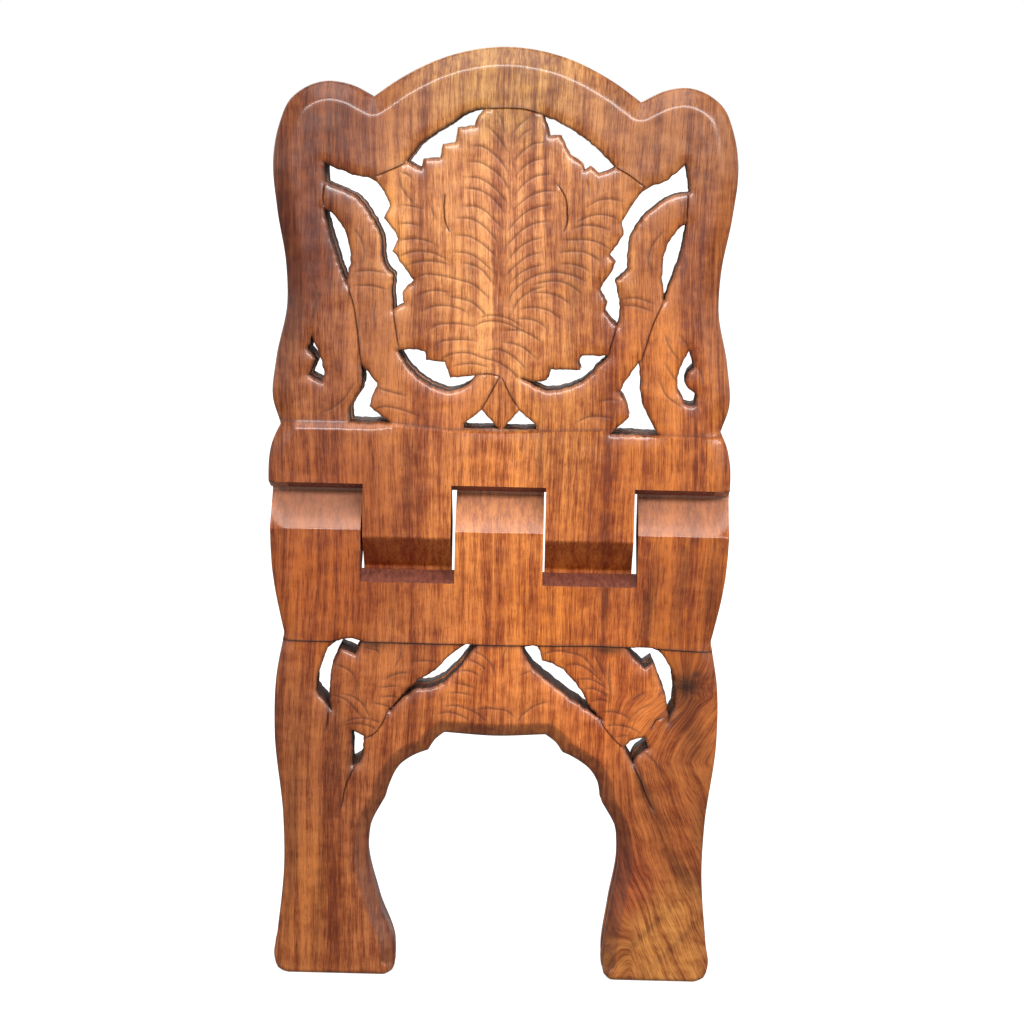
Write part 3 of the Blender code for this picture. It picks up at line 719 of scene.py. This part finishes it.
def make_leaf(name, node, upper_y, open_at_sides):
    """A leaf's two faces, joined along every edge by walls of sawn wood."""
    plank = plank_of(node, upper_y)
    loops, hinge_loops = leaf_loops(plank, open_at_sides)
    in_front = 1 if upper_y < 0 else -1
    front = face_of_leaf(plank, loops, hinge_loops, -1, in_front)
    back = face_of_leaf(plank, loops, hinge_loops, 1, -in_front)
    shift = len(front["xyz"])
    walls, finishes = [], []
    first = 0
    for number, length in enumerate(front["loops"]):
        f = front["rim"][first : first + length]
        b = [i + shift for i in back["rim"][first : first + length]]
        first += length
        for i in range(length):
            j = (i + 1) % length
            walls.append((f[i], b[i], b[j], f[j]))
            x, _, z = (front["xyz"][f[i]] + front["xyz"][f[j]]) / 2
            # the openings' walls take the near-black finish of painted shade
            if number >= hinge_loops:
                finishes.append(SHADED_OPENING_WALLS)
            elif abs(x) < ROUND_FINGERS[0] and abs(z - AXIS) < ROUND_FINGERS[1]:
                finishes.append(STAINED)
            else:
                finishes.append(POLISHED)
    xyz = np.concatenate([front["xyz"], back["xyz"]])
    faces = [tuple(t) for t in front["triangles"].tolist()]
    faces += [tuple(reversed(t)) for t in (back["triangles"] + shift).tolist()]
    mesh = bpy.data.meshes.new(name)
    mesh.from_pydata((xyz * MM).tolist(), [], faces + walls)
    mesh.polygons.foreach_set("material_index", [POLISHED] * len(faces) + finishes)
    mesh.shade_smooth()
    mesh.set_sharp_from_angle(angle=CREASE)
    for key in ("dark", "slope"):
        values = np.concatenate([front[key], back[key]])
        mesh.attributes.new(key, "FLOAT", "POINT").data.foreach_set("value", values)
    grain, cast = figure(xyz)
    mesh.attributes.new("grain", "FLOAT_VECTOR", "POINT").data.foreach_set("vector", grain.ravel())
    mesh.attributes.new("cast", "FLOAT_COLOR", "POINT").data.foreach_set("color", cast.ravel())
    piece = bpy.data.objects.new(name, mesh)
    bpy.context.scene.collection.objects.link(piece)
    mesh.validate()
    return piece


def linear(hex_colour):
    """An sRGB hex colour as the linear red, green and blue that a shader takes."""
    parts = [int(hex_colour[i : i + 2], 16) / 255 for i in (1, 3, 5)]
    return [c / 12.92 if c <= 0.04045 else ((c + 0.055) / 1.055) ** 2.4 for c in parts]


# The plank is paler in the heart of the book rest and redder towards its left edge and legs: partly its
# own colour, partly painted shade, darker on the left and at the edges where less light falls.
CASTS = [
    ((0, 345), "#A9774F"), ((-66, 322), "#7C4228"), ((64, 322), "#8D5539"), ((-76, 275), "#6C3219"),
    ((74, 275), "#904F2B"), ((0, 290), "#C5825F"), ((0, 250), "#C4815C"), ((-30, 280), "#BB7A53"),
    ((32, 280), "#AD6C46"), ((-52, 250), "#925539"), ((52, 235), "#AA6033"), ((-60, 222), "#915337"),
    ((-20, 216), "#AD6641"), ((25, 216), "#BA7547"), ((-60, 190), "#8A4727"), ((0, 185), "#C07241"),
    ((50, 190), "#A65B2D"), ((-60, 150), "#904821"), ((20, 145), "#B2632F"), ((70, 150), "#964E23"),
    ((-40, 118), "#9E5937"), ((0, 115), "#BD6D40"), ((40, 115), "#B86639"), ((-72, 90), "#884B2F"),
    ((0, 97), "#A8603C"), ((-62, 35), "#945430"), ((66, 62), "#94522E"), ((66, 16), "#A66B40"),
    ((-46, 40), "#93553F"), ((48, 40), "#8B452B"),
]
OILED = (0.98, 0.88, 0.55)  # the oil pulls every colour towards orange
KNOT = (72, 116.5)
# Dark flames in the wood, and some patches of painted shade: centre, half width and height, lean, how
# dark.
FLAMES_AND_SHADE = [
    (KNOT, (4.2, 3.2), 0, 0.75), ((76, 121), (1.8, 1.3), 0, 0.6), ((66, 119), (1.7, 1), 0, 0.5),
    # (56.5, 78) is painted shade, a dark wedge beside a parting cut
    ((56.5, 78), (1.6, 9), -0.45, 0.5), ((-54, 84), (3, 7), 0.3, 0.35),
    # (-46, 129.4) and (42, 129.6) are painted shade in the recesses under the block's foot
    ((-46, 129.4), (4.5, 1.5), 0, 0.7), ((42, 129.6), (6.5, 1.6), 0, 0.75), ((66, 103), (3, 4), 0, 0.4),
    ((74, 100), (5, 14), -0.2, 0.45), ((73, 43), (4, 9), -0.7, 0.5), ((80, 60), (4, 12), -0.2, 0.35),
    ((60, 70), (2.5, 18), -0.45, 0.35), ((57, 146), (2.2, 16), 0.1, 0.45), ((40, 157), (1.6, 22), 0, 0.35),
    ((69, 156), (2, 20), 0.1, 0.4), ((80, 150), (3, 16), 0, 0.35), ((15, 200), (1.5, 14), 0, 0.3),
    ((-34, 196), (2, 18), 0, 0.25), ((-78, 255), (4, 30), 0, 0.25), ((-62, 325), (6, 10), 0.4, 0.2),
    ((-76, 60), (2.4, 40), 0, 0.35), ((-60, 100), (2, 30), 0, 0.25), ((40, 335), (3, 10), 0.2, 0.25),
    ((-12, 268), (1.2, 26), 0, 0.2), ((26, 262), (1.6, 30), 0.05, 0.25), ((-40, 150), (1.5, 18), 0, 0.3),
    ((-66, 30), (1.6, 30), 0.05, 0.3), ((60, 20), (1.6, 12), 0.9, 0.3), ((70, 14), (1.6, 12), 0.9, 0.3),
]


def figure(xyz):
    """Where each point lies in the tree's grain, in mm, and the plank's colour there, partly painted
    shade.
    """
    x, y, z = xyz.T
    # the grain runs up the plank, sways a little, and leans and curls in the right leg
    leg = np.clip((x - 42) / 12, 0, 1) * np.clip((112 - z) / 25, 0, 1)
    wild = noise_at(xyz[:, [0, 2]], 19, 34, 1.3) + 0.35 * noise_at(xyz[:, [0, 2]], 7, 13, 5.1)
    sway = 1.1 * np.sin(z / 47 + 1), 0.8 * np.sin(z / 23 + x / 30)
    grain_x = x + leg * (0.42 * (z - 45) + 3.2 * wild) + sway[0] + sway[1]
    # and parts round the knot
    dx, dz = x - KNOT[0], z - KNOT[1]
    near = np.exp(-(dx**2 / 70 + dz**2 / 70))
    grain_x = grain_x + near * np.sign(dx) * 7 * (1 - np.exp(-np.abs(dx) / 3))
    grain_z = z + near * dz * 3 + leg * 3 * wild
    weights, colours = [], []
    for (cx, cz), colour in CASTS:
        weights.append(1 / ((x - cx) ** 2 + ((z - cz) / 1.3) ** 2 + 25) ** 2)
        colours.append(linear(colour))
    weights = np.array(weights)
    cast = (weights.T @ np.array(colours)) / weights.sum(0)[:, None] * OILED
    for (cx, cz), (wide, tall), lean, amount in FLAMES_AND_SHADE:
        from_middle = ((x - cx - lean * (z - cz)) / wide) ** 2 + ((z - cz) / tall) ** 2
        cast = cast * (1 - amount * np.exp(-from_middle))[:, None]
    cast = cast * (1 - 0.6 * near[:, None])
    return np.stack([grain_x, y * 0.25, grain_z], 1), np.concatenate([cast, np.ones((len(x), 1))], 1)


def add(tree, kind, settings=None, **links):
    """Adds a node; settings are its properties, links its inputs by name or number."""
    made = tree.nodes.new(kind)
    for name, value in (settings or {}).items():
        setattr(made, name, value)
    for name, value in links.items():
        key = int(name[1:]) if name[0] == "n" and name[1:].isdigit() else name.replace("_", " ")
        socket = made.inputs[key]
        if isinstance(value, bpy.types.NodeSocket):
            tree.links.new(value, socket)
        else:
            socket.default_value = value
    return made


def bare_material(name):
    material = bpy.data.materials.new(name)
    material.use_nodes = True
    material.node_tree.nodes.clear()
    return material, material.node_tree


# after the pores' colour: a painted pale sheen, then two browns of painted shade
PORE, PAINTED_SHEEN, PAINTED_UNDER_SHADE, PAINTED_SHADE_BROWN = "#5A2712", "#CFA088", "#7A2C12", "#3A170B"


def rosewood(name):
    """Oiled and waxed sheesham: satin, with upright pores, streaks and darker bands, and painted shade and
    sheen.
    """
    material, tree = bare_material(name)
    grain = add(tree, "ShaderNodeAttribute", {"attribute_name": "grain"}).outputs["Vector"]
    cast = add(tree, "ShaderNodeAttribute", {"attribute_name": "cast"}).outputs["Color"]
    dark = add(tree, "ShaderNodeAttribute", {"attribute_name": "dark"}).outputs["Fac"]
    slope = add(tree, "ShaderNodeAttribute", {"attribute_name": "slope"}).outputs["Fac"]
    multiply, multiply_add = {"operation": "MULTIPLY"}, {"operation": "MULTIPLY_ADD"}
    clamped, colours = {"operation": "MULTIPLY", "use_clamp": True}, {"data_type": "RGBA"}

    def streaks(across, length, detail, roughness=0.55):
        """Noise stretched along the grain, in streaks of this width and length in mm."""
        sizes = (1 / across, 1 / across, 1 / length)
        stretched = add(tree, "ShaderNodeVectorMath", multiply, n0=grain, n1=sizes).outputs[0]
        return add(tree, "ShaderNodeTexNoise", None, Vector=stretched, Scale=1.0, Detail=detail,
                   Roughness=roughness).outputs["Fac"]

    def total(*terms):
        """Several streaks added up, each about its own middle, around 0.5."""
        result = 0.5
        for value, amount in terms:
            centred = add(tree, "ShaderNodeMath", {"operation": "SUBTRACT"}, n0=value, n1=0.5).outputs[0]
            made = add(tree, "ShaderNodeMath", multiply_add, n0=centred, n1=amount, n2=result)
            result = made.outputs[0]
        return result

    # growth bands, ribbons and fibres lighten and darken the plank's colour
    bands = streaks(7.5, 220, 3)
    ribbons = streaks(1.7, 60, 4, 0.6)
    fibres = streaks(0.42, 7, 3, 0.65)
    mottle = streaks(6, 4, 3)
    tone = total((bands, 0.95), (ribbons, 1.2), (fibres, 1.1), (mottle, 0.6))
    ramp = add(tree, "ShaderNodeValToRGB", None, Fac=tone)
    stops = ramp.color_ramp  # factors on the plank's colour, at half size to stay below 1
    stops.elements[0].position, stops.elements[0].color = 0.12, (0.2, 0.12, 0.08, 1)
    stops.elements[1].position, stops.elements[1].color = 0.88, (0.85, 1.0, 1.0, 1)
    for position, factor in ((0.34, (0.36, 0.29, 0.24, 1)), (0.5, (0.52, 0.52, 0.5, 1)),
                             (0.66, (0.68, 0.76, 0.78, 1))):
        stops.elements.new(position).color = factor
    shade = add(tree, "ShaderNodeVectorMath", {"operation": "SCALE"}, n0=ramp.outputs[0], Scale=2.0)
    tinted = add(tree, "ShaderNodeVectorMath", multiply, n0=cast, n1=shade.outputs[0])

    # open pores, a little wider than the real quarter millimetre so that they show, then a painted pale
    # sheen on the finger slopes that face up, painted shade on those that face down under the fingers, and
    # painted shade at the arrises, steps, openings and cuts
    pore_field = streaks(0.34, 1.7, 1, 0.4)
    pores = add(tree, "ShaderNodeMapRange", {"interpolation_type": "SMOOTHSTEP"}, Value=pore_field,
                From_Min=0.36, From_Max=0.26, To_Max=0.45).outputs[0]
    pored = add(tree, "ShaderNodeMix", colours, Factor=pores, n6=tinted.outputs[0],
                n7=(*linear(PORE), 1))
    # painted pale sheen on the finger slopes that face up
    sheen_mask = add(tree, "ShaderNodeMath", clamped, n0=slope, n1=-0.34).outputs[0]
    sheened = add(tree, "ShaderNodeMix", colours, Factor=sheen_mask, n6=pored.outputs[2],
               n7=(*linear(PAINTED_SHEEN), 1))
    # painted shade on the finger slopes that face down under the fingers
    under = add(tree, "ShaderNodeMath", clamped, n0=slope, n1=0.4).outputs[0]
    under_shaded = add(tree, "ShaderNodeMix", colours, Factor=under, n6=sheened.outputs[2],
                     n7=(*linear(PAINTED_UNDER_SHADE), 1))
    # painted shade from the dark attribute: arrises, the block's steps, the openings' edges and the cuts
    shade_amount = add(tree, "ShaderNodeMath", multiply, n0=dark, n1=0.85).outputs[0]
    with_painted_shade = add(tree, "ShaderNodeMix", colours, Factor=shade_amount, n6=under_shaded.outputs[2],
                n7=(*linear(PAINTED_SHADE_BROWN), 1))

    # wax leaves a satin shine, duller along the fibres, where shade is painted and on the slopes painted
    # pale
    rough = add(tree, "ShaderNodeMapRange", None, Value=fibres, From_Min=0.3, From_Max=0.7,
                To_Min=0.25, To_Max=0.35).outputs[0]
    rough = add(tree, "ShaderNodeMath", multiply_add, n0=dark, n1=0.3, n2=rough).outputs[0]
    rough = add(tree, "ShaderNodeMath", multiply_add, n0=sheen_mask, n1=0.5, n2=rough).outputs[0]
    relief = total((fibres, 0.5), (ribbons, 0.3))
    relief = add(tree, "ShaderNodeMath", multiply_add, n0=pores, n1=-0.5, n2=relief).outputs[0]
    bump = add(tree, "ShaderNodeBump", None, Strength=0.35, Distance=0.00012, Height=relief)
    shader = add(tree, "ShaderNodeBsdfPrincipled", None, Base_Color=with_painted_shade.outputs[2], Roughness=rough,
                 IOR=1.5, Coat_Weight=0.4, Coat_Roughness=0.18, Normal=bump.outputs[0])
    add(tree, "ShaderNodeOutputMaterial", None, Surface=shader.outputs[0])
    return material


def sawn_wood(name, hollows, ridges):
    """Bare sawn rosewood: rough, matt and stained between two browns."""
    material, tree = bare_material(name)
    grain = add(tree, "ShaderNodeAttribute", {"attribute_name": "grain"}).outputs["Vector"]
    per_mm = (0.7, 0.35, 0.7)  # saw marks of about 1.4 mm
    sized = add(tree, "ShaderNodeVectorMath", {"operation": "MULTIPLY"}, n0=grain, n1=per_mm)
    marks = add(tree, "ShaderNodeTexNoise", None, Vector=sized.outputs[0], Scale=1.0, Detail=4.0,
                Roughness=0.6).outputs["Fac"]
    ramp = add(tree, "ShaderNodeValToRGB", None, Fac=marks)
    low, high = ramp.color_ramp.elements
    low.position, low.color = 0.3, (*linear(hollows), 1)
    high.position, high.color = 0.72, (*linear(ridges), 1)
    bump = add(tree, "ShaderNodeBump", None, Strength=0.5, Distance=0.0003, Height=marks)
    shader = add(tree, "ShaderNodeBsdfPrincipled", None, Base_Color=ramp.outputs[0], Roughness=0.72,
                 IOR=1.5, Normal=bump.outputs[0])
    add(tree, "ShaderNodeOutputMaterial", None, Surface=shader.outputs[0])
    return material


polished = rosewood("oiled_rosewood")
# The openings' walls are painted near black, as painted shade deep inside them; those round the fingers
# are sawn and stained.
opening_wall_shade = sawn_wood("fretsawn_rosewood_in_painted_shade", "#2A120A", "#6E3F2A")
stained = sawn_wood("stained_sawn_rosewood", "#5C291C", "#8F4F3B")
for name, node, upper_y, open_at_sides in (
    ("carved_two_finger_leaf", "two_finger_leaf", -FULL, True),
    ("carved_three_finger_leaf", "three_finger_leaf", FULL, False),
):
    leaf = make_leaf(name, node, upper_y, open_at_sides)
    for finish in (polished, opening_wall_shade, stained):
        leaf.data.materials.append(finish)
    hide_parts(node)
    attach(leaf, node)


# ---- Floor, light and camera --------------------------------------------------------------
# A white acrylic table top lit from below, a studio that is white behind the stand, two
# distant softboxes and one long strip light in front. Lengths here are in metres.

FLOOR = 30  # half its width, so that its edge is out of sight
floor_mesh = bpy.data.meshes.new("floor")
corners = [(-FLOOR, -FLOOR, 0), (FLOOR, -FLOOR, 0), (FLOOR, FLOOR, 0), (-FLOOR, FLOOR, 0)]
floor_mesh.from_pydata(corners, [], [(0, 1, 2, 3)])
floor = bpy.data.objects.new("floor", floor_mesh)
bpy.context.scene.collection.objects.link(floor)
table_top = bpy.data.materials.new("backlit_white_acrylic")  # pure white, keeping a faint shadow
table_top.use_nodes = True
acrylic = table_top.node_tree.nodes["Principled BSDF"]
acrylic.inputs["Base Color"].default_value = (0.55, 0.55, 0.55, 1)
acrylic.inputs["Roughness"].default_value = 0.9
acrylic.inputs["Specular IOR Level"].default_value = 0.0
acrylic.inputs["Emission Color"].default_value = (1, 1, 1, 1)
acrylic.inputs["Emission Strength"].default_value = 0.72
floor_mesh.materials.append(table_top)
floor.location.z = -0.0002
floor.visible_diffuse = False  # keeps the white floor from filling the shaded undersides
floor.visible_glossy = False

# The studio is white in a band about the horizon, which is at 0.5, and dimmer above and below.
world = bpy.data.worlds.new("studio")
bpy.context.scene.world = world
world.use_nodes = True
sky = world.node_tree
direction = add(sky, "ShaderNodeTexCoord").outputs["Generated"]
height = add(sky, "ShaderNodeSeparateXYZ", None, Vector=direction).outputs["Z"]
rise = add(sky, "ShaderNodeMapRange", None, Value=height, From_Min=-1.0, From_Max=1.0)
bands = add(sky, "ShaderNodeValToRGB", None, Fac=rise.outputs[0])
below, overhead = bands.color_ramp.elements
below.position, below.color = 0.0, (0.22, 0.21, 0.2, 1)
overhead.position, overhead.color = 1.0, (0.5, 0.5, 0.5, 1)
for position, grey in ((0.46, 0.22), (0.48, 1.0), (0.54, 1.0), (0.6, 0.38)):
    bands.color_ramp.elements.new(position).color = (grey, grey, grey, 1)
sky.links.new(bands.outputs[0], sky.nodes["Background"].inputs["Color"])


def soft_sun(name, azimuth, elevation, spread, strength):
    """A distant softbox. Azimuth 0 shines from the front, 90 from the right."""
    data = bpy.data.lights.new(name, "SUN")
    data.angle = math.radians(spread)
    data.energy = strength
    made = bpy.data.objects.new(name, data)
    a, e = math.radians(azimuth), math.radians(elevation)
    source = Vector((math.sin(a) * math.cos(e), -math.cos(a) * math.cos(e), math.sin(e)))
    made.rotation_euler = (-source).to_track_quat("-Z", "Y").to_euler()
    bpy.context.scene.collection.objects.link(made)


soft_sun("top_softbox", -10, 66, 50, 1.0)
soft_sun("back_softbox", 196, 34, 40, 1.2)

# The strip light gives the bright line that runs along the worn arrises.
STRIP_SIZE = (1.9, 0.24)
STRIP_PLACE, STRIP_TARGET = Vector((0.3, -1.25, 0.82)), Vector((0, 0, 0.22))
strip_data = bpy.data.lights.new("front_strip", "AREA")
strip_data.shape = "RECTANGLE"
strip_data.size, strip_data.size_y = STRIP_SIZE
strip_data.energy = 25
strip = bpy.data.objects.new("front_strip", strip_data)
strip.location = STRIP_PLACE
strip.rotation_euler = (STRIP_TARGET - STRIP_PLACE).to_track_quat("-Z", "Y").to_euler()
bpy.context.scene.collection.objects.link(strip)

CAMERA = Vector((0.015, -0.9117, 0.3194))
LOOK_AT = Vector((0.00486, -0.0117, 0.1817))
CAMERA_ROLL = Euler((0, 0, math.radians(1.2)))
camera_data = bpy.data.cameras.new("camera")
camera_data.lens = 85.8
camera = bpy.data.objects.new("camera", camera_data)
camera.location = CAMERA
aim = (LOOK_AT - CAMERA).to_track_quat("-Z", "Y")
camera.rotation_euler = (aim @ CAMERA_ROLL.to_quaternion()).to_euler()
bpy.context.scene.collection.objects.link(camera)
bpy.context.scene.camera = camera
bpy.context.scene.view_settings.view_transform = "Standard"
